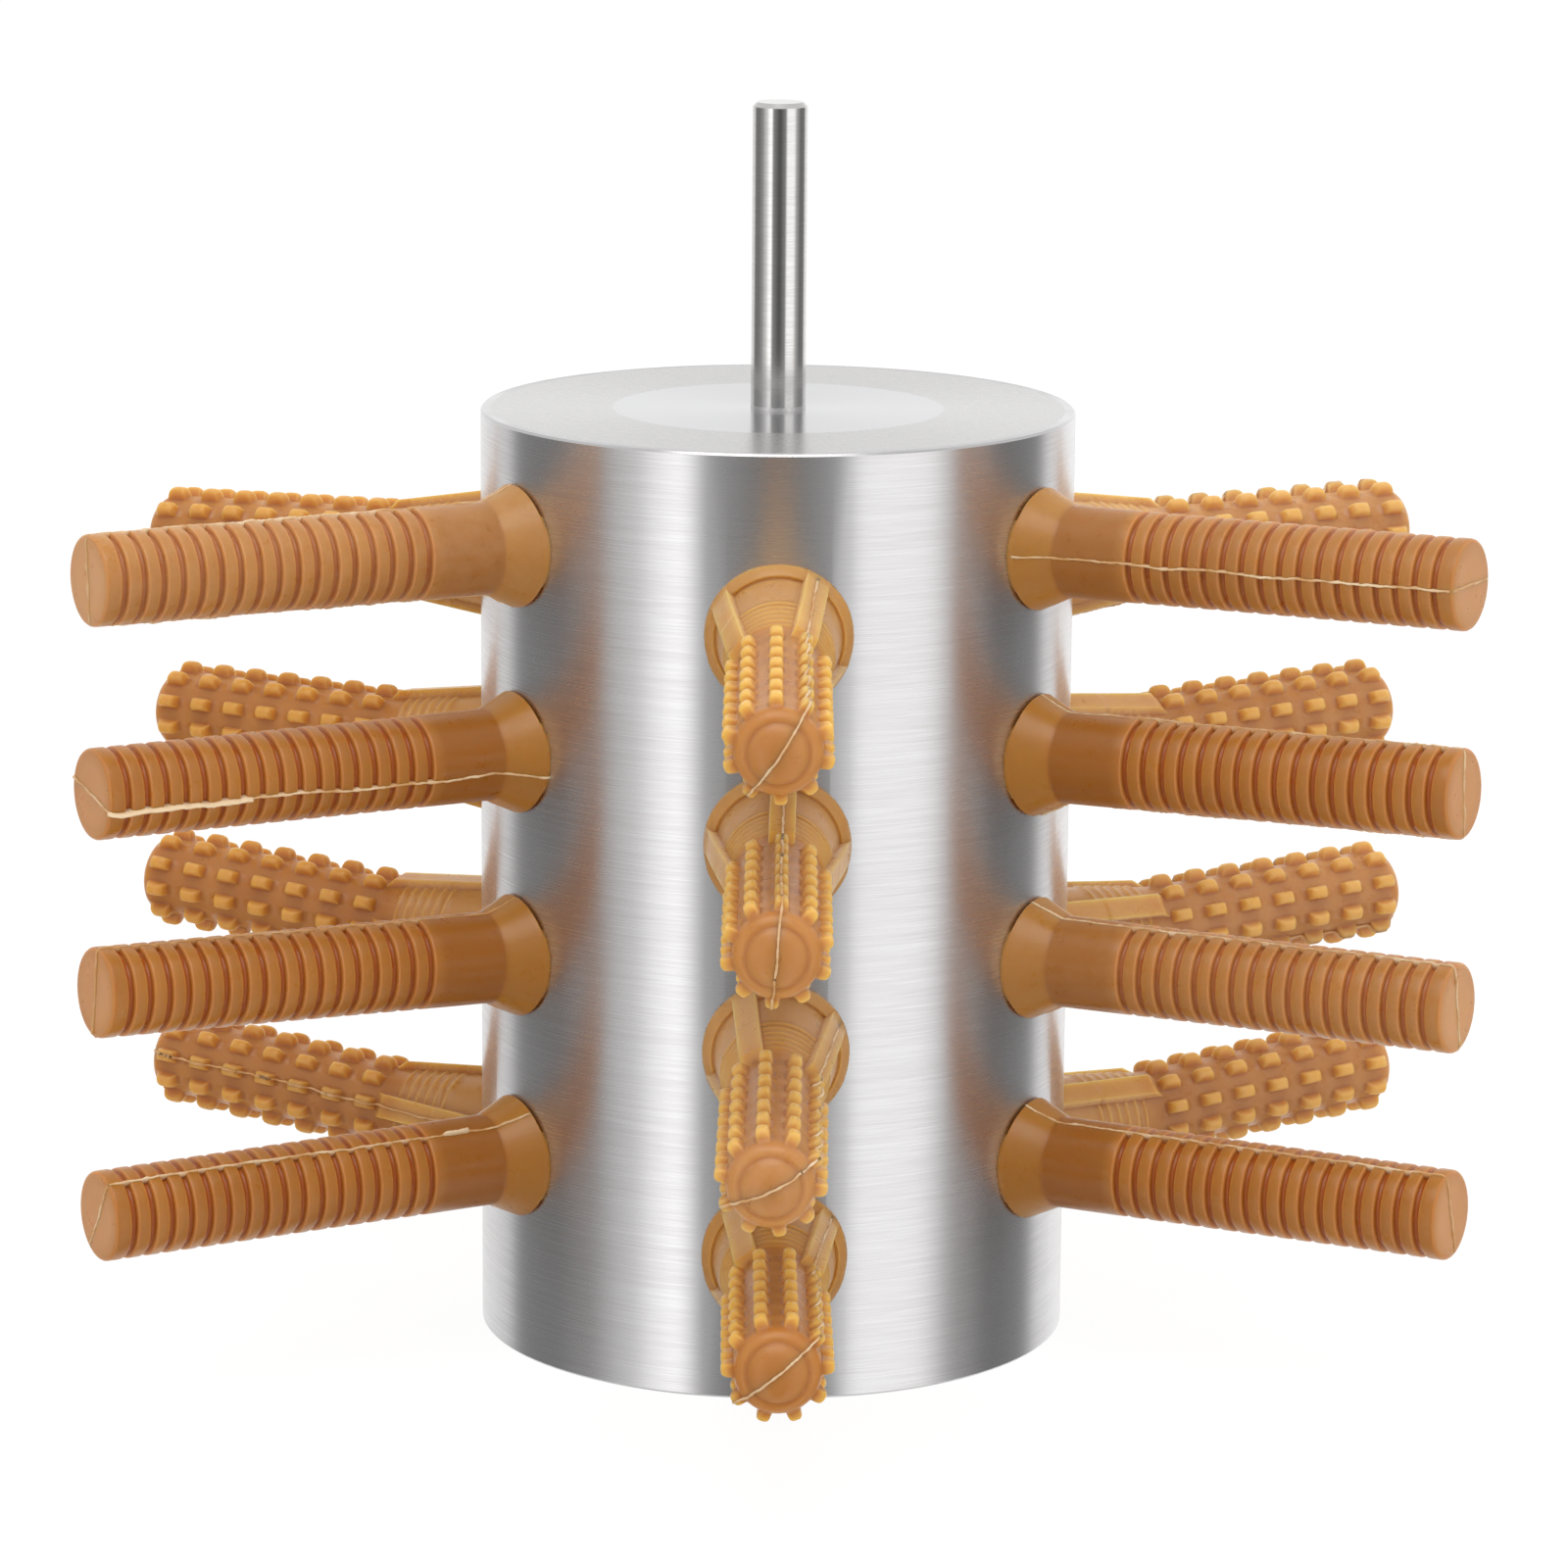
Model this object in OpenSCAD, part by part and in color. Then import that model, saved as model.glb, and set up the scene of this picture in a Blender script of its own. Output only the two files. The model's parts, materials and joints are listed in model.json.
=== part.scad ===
// Drill-driven poultry plucker: a stainless steel drum set with rubber fingers.
// Origin at the centre of the drum's open lower rim, +Z up the drive shaft, -Y to the front column.
// Every finger is drawn along +Z from the drum's axis, and then laid into its hole.

/* [Drum] */
// Outside diameter of the drum tube
drum_d = 108; // [104:1:130]
// Height of the drum tube
drum_h = 171; // [150:0.5:220]
// Wall thickness of the drum tube
drum_wall = 2; // [1.5:0.25:3]
// Chamfer on the tube's outer rims
drum_edge = 0.4; // [0.2:0.1:0.8]
// Thickness of the top plate
plate_t = 3; // [2:0.5:5]

/* [Drive shaft] */
// Diameter of the shank that a drill chuck grips
shank_d = 10; // [9.5:0.5:13]
// Length of the shank above the top plate
shank_l = 55.5; // [40:0.5:80]
// Chamfer on the shank's free end
shank_edge = 0.8; // [0.4:0.1:1.5]
// Diameter of the spigot that passes through the top plate
spigot_d = 8; // [6:0.5:8]
// Length of the spigot below the top plate
spigot_l = 5; // [4.5:0.5:8]

/* [Welds] */
// Leg of the weld that fills the chamfer at the shank's foot
foot_weld = 0.6; // [0.4:0.1:0.9]
// Leg of the weld round the spigot, under the top plate
spigot_weld = 3; // [2:0.5:4]
// Leg of the weld between the top plate and the tube, inside the drum
rim_weld = 2.5; // [1.5:0.5:3]

/* [Finger layout] */
// Height of the lowest nubbed finger above the lower rim
first_row_z = 26.4; // [22:0.2:30]
// Distance from the upper rim down to the highest ribbed finger
last_row_drop = 21; // [19:0.5:24]
// How much higher the ribbed columns sit than the nubbed ones
ribbed_raise = 11.2; // [8:0.2:12]
// How far a finger rocks each way in its hole, in degrees
flex = 8; // [4:0.5:9]

/* [Finger root] */
// Diameter of the finger's neck inside the drum wall
neck_d = 17.4; // [15:0.2:18]
// Clearance between the neck and its hole, all round
neck_clear = 0.45; // [0.4:0.05:0.7]
// Clearance left at the drum when a finger has rocked to its limit
seat_clear = 0.1; // [0.1:0.05:0.3]
// Diameter of the base that stays inside the drum
base_d = 26; // [22:0.5:28]
// Chamfer on the inner end of the base
base_edge = 1; // [0.5:0.25:2]

/* [Ribbed fingers] */
// Length outside the drum
ribbed_l = 83; // [75:1:100]
// Length inside the drum, from its outer surface
ribbed_root_l = 12; // [10:0.5:16]
// Diameter of the collar against the drum
collar_d = 22; // [20:0.5:25]
// Height of the collar's upright rim
collar_rim = 0.6; // [0.4:0.1:1.5]
// Height at which the collar's cone ends on the shank
collar_h = 6.5; // [5:0.5:10]
// Step between the end of the cone and the shank
collar_step = 0.3; // [0.2:0.1:0.8]
// Diameter of the smooth shank above the collar
ribbed_d = 16.5; // [15:0.25:18]
// Diameter at the tip
ribbed_tip_d = 16; // [14:0.25:18]
// Height of the first groove above the drum
groove_start = 20.5; // [15:0.5:22]
// Number of grooves
groove_count = 17; // [10:1:18]
// Distance between one groove and the next
groove_pitch = 3.64; // [2.5:0.02:3.66]
// Width of a groove
groove_w = 1.3; // [0.8:0.1:1.8]
// Depth of a groove
groove_depth = 1; // [0.5:0.1:1.5]
// Rounding on the edge of the tip
ribbed_round = 0.7; // [0.3:0.1:1]

/* [Nubbed fingers] */
// Length outside the drum
nubbed_l = 83.6; // [79:0.2:100]
// Length inside the drum, from its outer surface
nubbed_root_l = 14; // [10:0.5:16]
// Diameter of the flange against the drum
flange_d = 26.2; // [24:0.2:28]
// Height of the flange's upright rim
flange_rim = 1.2; // [1.2:0.1:2]
// Width of the bevel round the flange's face
flange_bevel = 1.6; // [1:0.1:2]
// Depth of the cup inside the bevel
flange_cup = 0.3; // [0.2:0.1:1]
// Width of the cup's floor, from the bevel to the tapered shank
cup_floor = 0.5; // [0.4:0.1:1]
// Diameter of the body between the nubs
body_d = 14.8; // [13:0.2:15.5]
// Rounding on the edge of the tip
tip_round = 2.5; // [1:0.25:2.5]
// Diameter of the button on the tip
button_d = 10.2; // [8:0.2:10.6]
// Height of the button, step and dome together
button_h = 2; // [1.4:0.1:2.2]
// Height of the step round the button
button_step = 0.5; // [0.3:0.1:1]
// Number of rows of nubs round the finger
nub_rows = 10; // [6:1:11]
// Number of nubs along each row
nub_rings = 7; // [4:1:7]
// Distance between nubs along a row
nub_pitch = 7.6; // [6:0.1:7.6]
// Distance from the tip to the middle of the first nub
nub_inset = 6.4; // [6:0.1:7]
// Length of a nub along the finger
nub_l = 4.3; // [3:0.1:4.4]
// Width of a nub across the finger
nub_w = 2.2; // [1.8:0.1:2.6]
// Height of a nub
nub_h = 2.1; // [1.5:0.1:2.5]
// Rounding on a nub's top edges
nub_round = 0.9; // [0.5:0.05:1]
// Width of each of the four ridges between the flange and the nubs
ridge_w = 4.4; // [3:0.2:5]
// Height of a ridge above the body where it meets the nubs
ridge_h = 1.5; // [0.8:0.1:1.8]
// How far a ridge's foot stays inside the flange's edge
ridge_inset = 0.4; // [0.3:0.1:1]
// Plain length between the ridges' ends and the nubs
ridge_gap = 0.5; // [0.4:0.1:1]

/* [How the fingers lie] */
// Lift of the tips in the front column, top row first, in degrees
front_lift = [-2.5, 0, -1, 3]; // [-4:0.5:4]
// Lift of the tips in the front right column
front_right_lift = [1, 1.5, 1, 1]; // [-4:0.5:4]
// Lift of the tips in the rear right column
rear_right_lift = [0, 1, 2.5, 4]; // [-4:0.5:4]
// Lift of the tips in the rear column
rear_lift = [0.5, 0, 0.5, 0]; // [-4:0.5:4]
// Lift of the tips in the rear left column
rear_left_lift = [-2.5, -0.5, 3.5, 4]; // [-4:0.5:4]
// Lift of the tips in the front left column
front_left_lift = [0.5, 0.5, 2, 0]; // [-4:0.5:4]
// Sideways lean of the tips in the front column, towards the right seen from outside
front_lean = [-0.5, -0.5, -1, 0]; // [-4:0.5:4]
// Sideways lean of the tips in the rear right column
rear_right_lean = [-3, 0, -3, -2]; // [-4:0.5:4]
// Sideways lean of the tips in the rear left column
rear_left_lean = [0, -1, 3, 1]; // [-4:0.5:4]
// Turn of each front finger about its own length, top row first, in degrees
front_clock = [57, 85, 28, 38]; // [0:1:180]
// Turn of each rear right finger about its own length
rear_right_clock = [70, 118, 49, 129]; // [0:1:180]
// Turn of each rear left finger about its own length
rear_left_clock = [9, 94, 174, 14]; // [0:1:180]

/* [Hidden] */
$fn = 64;
row_count = 4;
row_pitch = (drum_h - last_row_drop - ribbed_raise - first_row_z) / (row_count - 1);
column_angle = 60;
overlap = 1;

drum_r = drum_d / 2;
drum_in_r = drum_r - drum_wall;
plate_z = drum_h - plate_t;
hole_d = neck_d + 2 * neck_clear;

// A finger rocks about the middle of the drum wall
pivot_r = drum_r - drum_wall / 2;
neck_r = neck_d / 2;
base_r = base_d / 2;
collar_z = drum_r + pivot_r * (1 - cos(flex)) + seat_clear;

// Greatest distance from the drum's axis that stays clear of its wall at both limits, x off the finger's axis
function inside_reach(x) =
    pivot_r * (1 - cos(flex)) + sqrt(pow(drum_in_r, 2) - pow(x + pivot_r * sin(flex), 2)) - seat_clear;

shoulder_z = inside_reach(neck_r);
base_z = inside_reach(base_r);

ribbed_r = ribbed_d / 2;
ribbed_tip_r = ribbed_tip_d / 2;
ribbed_tip_z = drum_r + ribbed_l;
groove_floor_r = ribbed_tip_r - groove_depth;

body_r = body_d / 2;
flange_r = flange_d / 2;
cup_r = flange_r - flange_bevel;
button_r = button_d / 2;
button_z = drum_r + nubbed_l;
body_tip_z = button_z - button_h;
nub_top_r = body_r + nub_h;
nub_start_z = button_z - nub_inset - (nub_rings - 1) * nub_pitch - nub_l / 2;
nub_root_r = body_r - tip_round - overlap / 2;
bevel_z = collar_z + flange_rim + flange_bevel;
cup_z = bevel_z - flange_cup;
taper_end_z = nub_start_z - 2 * ridge_gap;
ridge_foot_r = sqrt(pow(flange_r - ridge_inset, 2) - pow(ridge_w / 2, 2));
ridge_foot_z = collar_z + flange_rim + seat_clear;
ridge_end_z = nub_start_z - ridge_gap;

// Dome that rises from the top of the button's step to the tip
button_rise = button_h - button_step;
button_dome_r = (pow(button_r, 2) + pow(button_rise, 2)) / (2 * button_rise);

// Columns round the drum, from the front towards the right: name, kind, lift, lean and turn of each row
level = [0, 0, 0, 0];
COLUMNS = [
    ["front", "nubbed", front_lift, front_lean, front_clock],
    ["front_right", "ribbed", front_right_lift, level, level],
    ["rear_right", "nubbed", rear_right_lift, rear_right_lean, rear_right_clock],
    ["rear", "ribbed", rear_lift, level, level],
    ["rear_left", "nubbed", rear_left_lift, rear_left_lean, rear_left_clock],
    ["front_left", "ribbed", front_left_lift, level, level],
];

function column_kind(c) = COLUMNS[c][1];
function finger_lift(c, r) = COLUMNS[c][2][r];
function finger_lean(c, r) = COLUMNS[c][3][r];
function finger_clock(c, r) = COLUMNS[c][4][r];
function row_z(c, r) =
    first_row_z + (row_count - 1 - r) * row_pitch + (column_kind(c) == "ribbed" ? ribbed_raise : 0);
function finger_name(c, r) = str(column_kind(c), "_finger_", COLUMNS[c][0], "_", r + 1);

// Lays a finger, drawn along +Z, into its hole in the drum
module in_hole(c, r)
    translate([0, 0, row_z(c, r)])
        rotate([0, 0, c * column_angle])
            rotate([90, 0, 0])
                children();

// Tilts the free length of a finger about its seat on the drum
module tilted(lift, lean)
    translate([0, 0, drum_r])
        rotate([-lift, lean, 0])
            translate([0, 0, -drum_r])
                children();

// Upright band of a revolved profile, from the axis out to r, with its outer upper corner rounded
module rounded_top(r, z0, z1, round) {
    translate([0, z0])
        square([r, z1 - z0 - round]);
    translate([0, z0])
        square([r - round, z1 - z0]);
    translate([r - round, z1 - round])
        circle(round);
}

module drum_tube()
    color("silver")
        difference() {
            rotate_extrude()
                polygon([
                    [drum_in_r, 0],
                    [drum_r - drum_edge, 0],
                    [drum_r, drum_edge],
                    [drum_r, drum_h - drum_edge],
                    [drum_r - drum_edge, drum_h],
                    [drum_in_r, drum_h],
                ]);
            for (c = [0:len(COLUMNS) - 1])
                for (r = [0:row_count - 1])
                    in_hole(c, r)
                        translate([0, 0, drum_in_r / 2])
                            cylinder(d = hole_d, h = drum_r);
        }

module top_plate()
    color("gainsboro")
        translate([0, 0, plate_z])
            difference() {
                cylinder(r = drum_in_r, h = plate_t);
                translate([0, 0, -overlap])
                    cylinder(d = spigot_d, h = plate_t + 2 * overlap);
            }

module drive_shaft()
    color("silver")
        rotate_extrude()
            polygon([
                [0, plate_z - spigot_l],
                [spigot_d / 2, plate_z - spigot_l],
                [spigot_d / 2, drum_h],
                [shank_d / 2 - foot_weld, drum_h],
                [shank_d / 2, drum_h + foot_weld],
                [shank_d / 2, drum_h + shank_l - shank_edge],
                [shank_d / 2 - shank_edge, drum_h + shank_l],
                [0, drum_h + shank_l],
            ]);

// Ring of weld laid in a corner: r and z are the corner, out and up say which way its legs run
module weld_ring(r, z, out, up)
    color("darkgray")
        rotate_extrude()
            polygon([[r, z], [r + out, z], [r, z + up]]);

module shaft_foot_weld()
    color("darkgray")
        rotate_extrude()
            polygon([
                [shank_d / 2 - foot_weld, drum_h],
                [shank_d / 2, drum_h],
                [shank_d / 2, drum_h + foot_weld],
            ]);

module spigot_weld()
    weld_ring(spigot_d / 2, plate_z, spigot_weld, -spigot_weld);

module plate_rim_weld()
    weld_ring(drum_in_r, plate_z, -rim_weld, -rim_weld);

// Base, neck and collar of a finger, from the inside of the drum out to a collar profile
module finger_root(root_l, collar)
    rotate_extrude()
        polygon(concat(
            [
                [0, drum_r - root_l],
                [base_r - base_edge, drum_r - root_l],
                [base_r, drum_r - root_l + base_edge],
                [base_r, base_z],
                [neck_r, shoulder_z],
                [neck_r, collar_z],
            ],
            collar,
            [[0, collar[len(collar) - 1][1]]]
        ));

module ribbed_stem()
    rotate_extrude()
        difference() {
            union() {
                polygon([
                    [0, collar_z + collar_rim],
                    [ribbed_r, collar_z + collar_rim],
                    [ribbed_tip_r, ribbed_tip_z - ribbed_round],
                    [0, ribbed_tip_z - ribbed_round],
                ]);
                rounded_top(ribbed_tip_r, ribbed_tip_z - groove_w, ribbed_tip_z, ribbed_round);
            }
            for (i = [0:groove_count - 1])
                translate([groove_floor_r, drum_r + groove_start + i * groove_pitch])
                    square([ribbed_r, groove_w]);
        }

module ribbed_finger(lift, lean)
    color("peru") {
        finger_root(ribbed_root_l, [
            [collar_d / 2, collar_z],
            [collar_d / 2, collar_z + collar_rim],
            [ribbed_r + collar_step, drum_r + collar_h],
        ]);
        tilted(lift, lean)
            ribbed_stem();
    }

// Tapered shank, body and tip button in one revolve
module nubbed_core()
    rotate_extrude() {
        polygon([
            [0, collar_z + flange_rim],
            [cup_r - cup_floor, collar_z + flange_rim],
            [body_r, taper_end_z],
            [0, taper_end_z],
        ]);
        rounded_top(body_r, taper_end_z, body_tip_z, tip_round);
        rounded_top(button_r, taper_end_z, body_tip_z + button_step, button_step / 2);
        intersection() {
            translate([0, button_z - button_dome_r])
                circle(button_dome_r);
            translate([0, body_tip_z])
                square([button_r, button_h]);
        }
    }

// Section of one nub along its row, with both outer corners rounded
module nub_section(z) {
    translate([nub_root_r, z - nub_l / 2])
        square([nub_top_r - nub_root_r - nub_round, nub_l]);
    translate([nub_root_r, z - nub_l / 2 + nub_round])
        square([nub_top_r - nub_root_r, nub_l - 2 * nub_round]);
    for (side = [-1, 1])
        translate([nub_top_r - nub_round, z + side * (nub_l / 2 - nub_round)])
            circle(nub_round);
}

// One row of nubs, standing on a spine that is buried in the body
module nub_row()
    rotate([90, 0, 0])
        linear_extrude(nub_w, center = true) {
            translate([nub_root_r, nub_start_z])
                square([body_r - overlap - nub_root_r, body_tip_z - overlap - nub_start_z]);
            for (k = [0:nub_rings - 1])
                nub_section(button_z - nub_inset - k * nub_pitch);
        }

// Two opposite ridges that run down the tapered shank from the nubs to the flange's rim
module ridge_pair()
    rotate([90, 0, 0])
        linear_extrude(ridge_w, center = true)
            for (side = [0, 1])
                mirror([side, 0])
                    polygon([
                        [0, ridge_foot_z],
                        [ridge_foot_r, ridge_foot_z],
                        [body_r + ridge_h, ridge_end_z - ridge_h],
                        [body_r - overlap, ridge_end_z + overlap],
                        [0, ridge_end_z + overlap],
                    ]);

module nubbed_finger(lift, lean, clock)
    color("burlywood") {
        finger_root(nubbed_root_l, [
            [flange_r, collar_z],
            [flange_r, collar_z + flange_rim],
            [cup_r, bevel_z],
            [cup_r, cup_z],
        ]);
        tilted(lift, lean)
            rotate([0, 0, clock]) {
                nubbed_core();
                for (i = [0:nub_rows - 1])
                    rotate([0, 0, i * 360 / nub_rows])
                        nub_row();
                for (a = [0, 90])
                    rotate([0, 0, a])
                        ridge_pair();
            }
    }

module finger(c, r)
    in_hole(c, r)
        if (column_kind(c) == "ribbed")
            ribbed_finger(finger_lift(c, r), finger_lean(c, r));
        else
            nubbed_finger(finger_lift(c, r), finger_lean(c, r), finger_clock(c, r));

drum_tube();
top_plate();
drive_shaft();
shaft_foot_weld();
spigot_weld();
plate_rim_weld();
for (c = [0:len(COLUMNS) - 1])
    for (r = [0:row_count - 1])
        finger(c, r);
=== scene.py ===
import json
from math import atan2, cos, degrees, pi, radians, sin
import bpy
import numpy as np
from mathutils import Matrix, Vector


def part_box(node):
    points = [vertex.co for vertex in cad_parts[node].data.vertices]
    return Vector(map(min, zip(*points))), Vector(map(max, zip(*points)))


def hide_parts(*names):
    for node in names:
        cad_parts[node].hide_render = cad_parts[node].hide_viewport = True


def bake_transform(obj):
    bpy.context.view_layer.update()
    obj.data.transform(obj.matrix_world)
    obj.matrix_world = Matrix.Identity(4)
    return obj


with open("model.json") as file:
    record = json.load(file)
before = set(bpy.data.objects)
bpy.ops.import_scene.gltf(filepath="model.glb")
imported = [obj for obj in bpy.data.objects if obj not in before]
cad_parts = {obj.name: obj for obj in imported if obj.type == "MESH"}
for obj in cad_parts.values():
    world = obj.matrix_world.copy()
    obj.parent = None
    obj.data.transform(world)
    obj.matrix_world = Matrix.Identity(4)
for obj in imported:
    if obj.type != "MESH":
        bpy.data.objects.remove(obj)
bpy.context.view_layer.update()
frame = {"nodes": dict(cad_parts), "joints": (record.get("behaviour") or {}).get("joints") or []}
mm = 0.001
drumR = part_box("drum_tube")[1].x / mm
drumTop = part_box("drum_tube")[1].z / mm
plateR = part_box("top_plate")[1].x / mm    # the plate fills the tube, so this is the tube's bore
print("frame:", len(frame["nodes"]), "nodes, drum radius", round(drumR, 2), "mm")


def linear(hexColour):    # sRGB hex to linear, with an alpha of one
    parts = [int(hexColour[i:i + 2], 16) / 255 for i in (0, 2, 4)]
    return [p / 12.92 if p <= 0.04045 else ((p + 0.055) / 1.055) ** 2.4 for p in parts] + [1]


def addNode(tree, kind, values={}, links={}, **settings):
    node = tree.nodes.new("ShaderNode" + kind)
    for name, value in settings.items():
        setattr(node, name, value)
    for socket, value in values.items():
        node.inputs[socket].default_value = value
    for socket, source in links.items():
        tree.links.new(source, node.inputs[socket])
    return node


def newMaterial(name, shader):
    material = bpy.data.materials.new(name)
    material.use_nodes = True
    principled = material.node_tree.nodes["Principled BSDF"]
    for socket, value in shader.items():
        principled.inputs[socket].default_value = value
    return material, material.node_tree, principled


# Camera, from the drum's rims, the shank and the finger rows as the photo shows them
view = {
    "lens": 143.57,                     # mm, on a 36 mm sensor
    "place": (0, -1124.5, 344.1),       # mm from the middle of the drum's lower rim
    "down": 12.198,                     # degrees
    "yaw": 0.082,
    "roll": 0.454,
    "round": -0.5,                      # the drum stands turned half a degree
}


def addCamera():
    down, yaw, roll = (radians(view[k]) for k in ("down", "yaw", "roll"))
    ahead = Vector((sin(yaw) * cos(down), cos(yaw) * cos(down), -sin(down)))
    level = Vector((cos(yaw), -sin(yaw), 0))
    upright = level.cross(ahead)
    right = cos(roll) * level + sin(roll) * upright
    up = cos(roll) * upright - sin(roll) * level
    turn = Matrix((right, up, -ahead)).transposed().to_4x4()
    camera = bpy.data.objects.new("photoCamera", bpy.data.cameras.new("photoCamera"))
    camera.data.lens = view["lens"]
    camera.data.sensor_width = 36
    camera.data.clip_end = 30
    spin = Matrix.Rotation(radians(view["round"]), 4, "Z")
    camera.matrix_world = spin @ Matrix.Translation(Vector(view["place"]) * mm) @ turn
    bpy.context.scene.collection.objects.link(camera)
    bpy.context.scene.camera = camera


addCamera()
print("camera set")

# Studio: a pale sweep, a tall soft box on each side of the camera, and the dim room between them
studio = {
    # degrees round from the camera, negative to its left, and the brightness there
    "round": [(-180, 1.06), (-150, 0.96), (-130, 0.85), (-118, 0.24), (-96, 0.23), (-80, 0.35), (-58, 0.8), (-46, 1.4),
              (-38, 1.7), (-26, 0.28), (0, 0.11), (22, 0.28), (33, 1.36), (58, 1.36), (78, 0.45), (96, 0.2),
              (118, 0.24), (130, 0.95), (150, 1.12), (180, 1.06)],
    "overhead": 0.8,                    # brightness straight above
    "overheadFrom": (0.05, 0.55),       # upward share of a direction where it starts and is full
    "fill": 0.76,                       # even brightness that lights matte surfaces
    "fillTilt": (0.2, 0.06, 0.1),       # how much of it more comes from the right, the back and above
    "backGlow": 0.9,                    # added to it by the white backdrop behind the head
    "backFrom": (0.1, 0.8),             # backward share of a direction where that starts and is full
    "boxPlace": (-0.1, -0.6, 1.3),      # m, soft box overhead, a little to the front
    "boxSize": (1.2, 0.8),
    "boxPower": 7.5,                    # W
    "floorWidth": 8.0,                  # m
    "floorColour": "ECEAE7",
    "floorGlow": 1.06,                  # brightness of the bare paper to the camera
    "floorBare": 0.88,                  # share of it, so that the rest takes the shadow
}


def addStudio():
    scene = bpy.context.scene
    world = bpy.data.worlds.new("paleStudio")
    scene.world = world
    world.use_nodes = True
    tree = world.node_tree
    tree.nodes.clear()
    direction = addNode(tree, "TexCoord").outputs["Generated"]
    aim = addNode(tree, "SeparateXYZ", links={0: direction})
    away = addNode(tree, "Math", {1: -1.0}, {0: aim.outputs["Y"]}, operation="MULTIPLY")
    angle = addNode(tree, "Math", links={0: aim.outputs["X"], 1: away.outputs[0]}, operation="ARCTAN2")
    share = addNode(tree, "Math", {1: 1 / (2 * pi), 2: 0.5}, {0: angle.outputs[0]}, operation="MULTIPLY_ADD")
    ramp = addNode(tree, "ValToRGB", links={"Fac": share.outputs[0]})
    ramp.color_ramp.interpolation = "EASE"
    stops = ramp.color_ramp.elements
    stops.remove(stops[1])
    peak = max(bright for turn, bright in studio["round"])
    for turn, bright in studio["round"]:
        stop = stops.new(turn / 360 + 0.5) if turn > -180 else stops[0]
        stop.color = (bright / peak, bright / peak, bright / peak, 1)
    low, full = studio["overheadFrom"]
    above = addNode(tree, "MapRange", {1: low, 2: full}, {0: aim.outputs["Z"]}, interpolation_type="SMOOTHSTEP")
    top = studio["overhead"] / peak
    sky = addNode(tree, "Mix", {7: (top, top, top, 1)}, {0: above.outputs[0], 6: ramp.outputs[0]}, data_type="RGBA")
    lit = addNode(tree, "Background", {"Strength": peak}, {"Color": sky.outputs[2]})
    tilt = addNode(tree, "VectorMath", {1: studio["fillTilt"]}, {0: direction}, operation="DOT_PRODUCT")
    even = addNode(tree, "Math", {1: studio["fill"]}, {0: tilt.outputs["Value"]})
    low, full = studio["backFrom"]
    back = addNode(tree, "MapRange", {1: low, 2: full, 4: studio["backGlow"]}, {0: aim.outputs["Y"]})
    total = addNode(tree, "Math", links={0: even.outputs[0], 1: back.outputs[0]})
    fill = addNode(tree, "Background", {"Strength": 1.0}, {"Color": total.outputs[0]})
    white = addNode(tree, "Background", {"Color": (1, 1, 1, 1), "Strength": 1.0})
    rays = addNode(tree, "LightPath").outputs
    lights = addNode(tree, "MixShader", links={0: rays["Is Glossy Ray"], 1: fill.outputs[0], 2: lit.outputs[0]})
    mixed = addNode(tree, "MixShader", links={0: rays["Is Camera Ray"], 1: lights.outputs[0], 2: white.outputs[0]})
    addNode(tree, "OutputWorld", links={"Surface": mixed.outputs[0]})
    scene.view_settings.view_transform = "Standard"

    light = bpy.data.lights.new("overheadSoftBox", "AREA")
    light.shape = "RECTANGLE"
    light.size, light.size_y = studio["boxSize"]
    light.energy = studio["boxPower"]
    box = bpy.data.objects.new("overheadSoftBox", light)
    aimAt = Vector((0, 0, drumTop / 2 * mm)) - Vector(studio["boxPlace"])
    box.location = studio["boxPlace"]
    box.rotation_euler = aimAt.to_track_quat("-Z", "Y").to_euler()
    scene.collection.objects.link(box)

    half = studio["floorWidth"] / 2
    sheet = bpy.data.meshes.new("paleFloor")
    sheet.from_pydata([(-half, -half, 0), (half, -half, 0), (half, half, 0), (-half, half, 0)], [], [(0, 1, 2, 3)])
    floor = bpy.data.objects.new("paleFloor", sheet)
    scene.collection.objects.link(floor)
    floor.visible_glossy = False        # the steel mirrors the soft boxes down to its lower rim
    paper = bpy.data.materials.new("mattePaperSweep")    # white studio paper: a faint shadow and no shine
    paper.use_nodes = True
    tree = paper.node_tree
    tree.nodes.clear()
    matte = addNode(tree, "BsdfDiffuse", {"Color": linear(studio["floorColour"])})
    bare = addNode(tree, "Emission", {"Color": (1, 1, 1, 1), "Strength": studio["floorGlow"]})
    seen = addNode(tree, "LightPath").outputs["Is Camera Ray"]
    mostly = addNode(tree, "Math", {1: studio["floorBare"]}, {0: seen}, operation="MULTIPLY")
    mixed = addNode(tree, "MixShader", links={0: mostly.outputs[0], 1: matte.outputs[0], 2: bare.outputs[0]})
    addNode(tree, "OutputMaterial", links={"Surface": mixed.outputs[0]})
    sheet.materials.append(paper)


addStudio()
print("studio set")

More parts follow.
